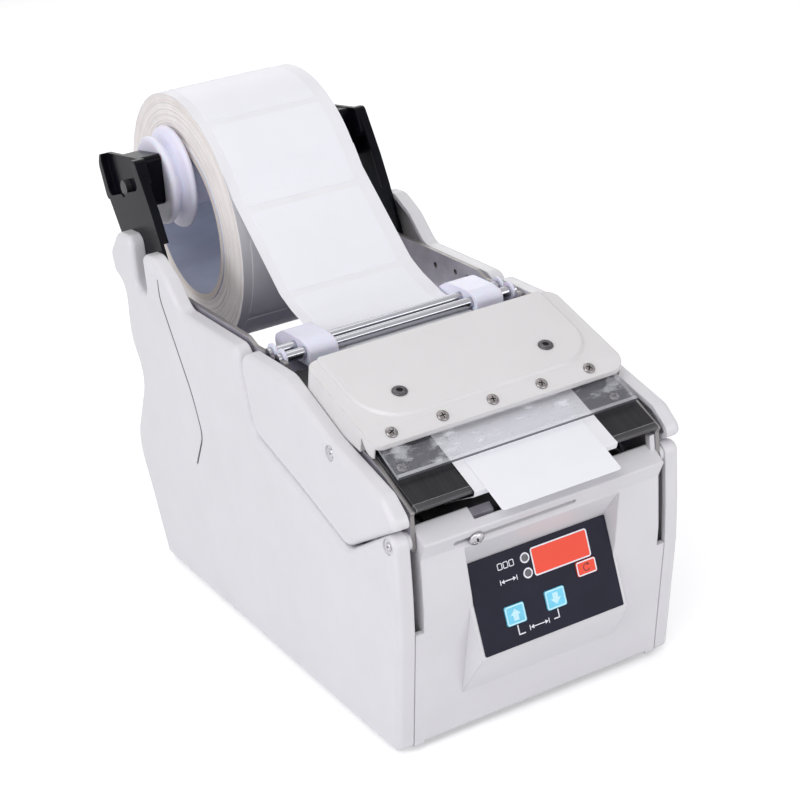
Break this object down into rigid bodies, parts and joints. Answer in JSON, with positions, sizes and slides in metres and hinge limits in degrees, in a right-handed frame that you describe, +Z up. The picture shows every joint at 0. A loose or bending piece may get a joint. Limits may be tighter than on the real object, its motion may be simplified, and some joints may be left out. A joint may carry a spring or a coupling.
{
  "type": "label dispenser",
  "caption": "Desktop machine that pulls a web of labels off a roll, peels each label over an edge and holds it out, with a hinged front panel and keypad.",
  "frame": {"origin": "bottom centre of the whole object's bounding box", "axes": "+X right seen from the front, front faces -Y, +Z up"},
  "size_m": [0.1408, 0.3354, 0.2357],
  "materials": {
    "shell": "off-white moulded plastic, very fine texture",
    "zinc_plate": "zinc-plated sheet steel",
    "dark_plate": "satin black coat on sheet metal",
    "bare_steel": "ground and polished steel",
    "screw_steel": "plated screw steel",
    "nylon": "natural nylon, milky",
    "rubber": "black rubber",
    "pale_roller": "white silicone rubber",
    "keypad_film": "dark blue-grey printed film",
    "key_blue": "pale blue key",
    "key_red": "red key",
    "window_red": "red filter over a digit display",
    "lamp": "red lamp lens",
    "black_plastic": "black moulded plastic",
    "circuit": "green circuit board with its parts",
    "motor_can": "black motor body",
    "acrylic": "clear acrylic",
    "label_paper": "white label stock, semi-gloss",
    "liner_paper": "glassine liner",
    "core_board": "wound cardboard tube"
  },
  "bodies": {
    "frame": {"arm_screws": "screw_steel", "base_plate": "zinc_plate", "clear_guard": "acrylic", "control_board": "circuit", "cover_hex_screws": "screw_steel", "dc_inlet": "black_plastic", "dispensed_label": "label_paper", "drive_belt": "rubber", "drive_bushes": "nylon", "guide_rods": "bare_steel", "label_web": "label_paper", "left_arm": "dark_plate", "left_frame_plate": "zinc_plate", "left_shoulder_cover": "shell", "left_side_cover": "shell", "liner_return": "liner_paper", "motor": "motor_can", "motor_mounts": "zinc_plate", "pan_head_screws": "screw_steel", "panel_hinge_pins": "bare_steel", "paper_deck": "zinc_plate", "peel_edge": "bare_steel", "peel_plate": "dark_plate", "rear_panel": "zinc_plate", "right_arm": "dark_plate", "right_frame_plate": "zinc_plate", "right_shoulder_cover": "shell", "right_side_cover": "shell", "rod_blocks": "nylon", "roll_axle": "bare_steel", "rubber_feet": "rubber", "side_screws": "screw_steel", "switch_bezel": "black_plastic", "top_cover": "shell"},
    "front_door": {"front_panel": "shell", "membrane_keypad": "keypad_film", "display_window": "window_red", "indicator_lamps": "lamp", "keypad_board": "circuit", "pinch_brackets": "nylon"},
    "sensor": {"sensor_carriage": "black_plastic", "sensor_knob": "screw_steel"},
    "pinch": {"pinch_shaft": "bare_steel", "pinch_roller": "pale_roller"},
    "drive": {"drive_shaft": "bare_steel", "drive_roller": "rubber", "drive_pulley": "nylon"},
    "motor_rotor": {"motor_shaft": "bare_steel", "motor_pulley": "nylon"},
    "roll": {"label_roll": "label_paper", "paper_core": "core_board"},
    "left_hub_body": {"left_hub": "nylon"},
    "right_hub_body": {"right_hub": "nylon"},
    "left_guide": {"left_edge_guide": "nylon"},
    "right_guide": {"right_edge_guide": "nylon"},
    "reset_button": {"reset_key": "key_red"},
    "length_up_button": {"length_up_key": "key_blue"},
    "length_down_button": {"length_down_key": "key_blue"},
    "rocker": {"power_rocker": "black_plastic"}
  },
  "joints": [
    {"name": "front_panel_hinge", "type": "hinge", "parent": "frame", "child": "front_door", "pos_m": [0, -0.12993, 0.007], "axis": [1, 0, 0], "range_deg": [0, 35]},
    {"name": "sensor_slide", "type": "slide", "parent": "front_door", "child": "sensor", "axis": [1, 0, 0], "range_m": [0, 0.045]},
    {"name": "pinch_roller_spin", "type": "hinge", "parent": "front_door", "child": "pinch", "pos_m": [0, -0.13393, 0.0995], "axis": [1, 0, 0], "continuous": true},
    {"name": "drive_roller_spin", "type": "hinge", "parent": "frame", "child": "drive", "pos_m": [0, -0.11915, 0.09697], "axis": [1, 0, 0], "continuous": true},
    {"name": "motor_spin", "type": "hinge", "parent": "frame", "child": "motor_rotor", "pos_m": [0, -0.08015, 0.09697], "axis": [1, 0, 0], "continuous": true},
    {"name": "roll_spin", "type": "hinge", "parent": "frame", "child": "roll", "pos_m": [0, 0.10497, 0.173], "axis": [1, 0, 0], "continuous": true},
    {"name": "left_hub_spin", "type": "hinge", "parent": "frame", "child": "left_hub_body", "pos_m": [0, 0.10656, 0.195], "axis": [1, 0, 0], "continuous": true},
    {"name": "right_hub_spin", "type": "hinge", "parent": "frame", "child": "right_hub_body", "pos_m": [0, 0.10656, 0.195], "axis": [1, 0, 0], "continuous": true},
    {"name": "left_guide_slide", "type": "slide", "parent": "frame", "child": "left_guide", "axis": [-1, 0, 0], "range_m": [0, 0.0098]},
    {"name": "right_guide_slide", "type": "slide", "parent": "frame", "child": "right_guide", "axis": [1, 0, 0], "range_m": [0, 0.0058]},
    {"name": "reset_press", "type": "slide", "parent": "front_door", "child": "reset_button", "axis": [0, 0.9641, -0.2656], "range_m": [0, 0.0004], "stiffness_N_per_m": 900, "springref_m": -0.0006},
    {"name": "length_up_press", "type": "slide", "parent": "front_door", "child": "length_up_button", "axis": [0, 0.9641, -0.2656], "range_m": [0, 0.0004], "stiffness_N_per_m": 900, "springref_m": -0.0006},
    {"name": "length_down_press", "type": "slide", "parent": "front_door", "child": "length_down_button", "axis": [0, 0.9641, -0.2656], "range_m": [0, 0.0004], "stiffness_N_per_m": 900, "springref_m": -0.0006},
    {"name": "power_rocker_tilt", "type": "hinge", "parent": "frame", "child": "rocker", "pos_m": [0, 0.10419, 0.02545], "axis": [1, 0, 0], "range_deg": [0, 14]}
  ],
  "couplings": [
    {"joint": "left_hub_spin", "follows": "roll_spin", "ratio": 2.4203},
    {"joint": "right_hub_spin", "follows": "roll_spin", "ratio": 2.4203},
    {"joint": "motor_spin", "follows": "drive_roller_spin", "ratio": 1.5},
    {"joint": "pinch_roller_spin", "follows": "drive_roller_spin", "ratio": -1.3333}
  ]
}
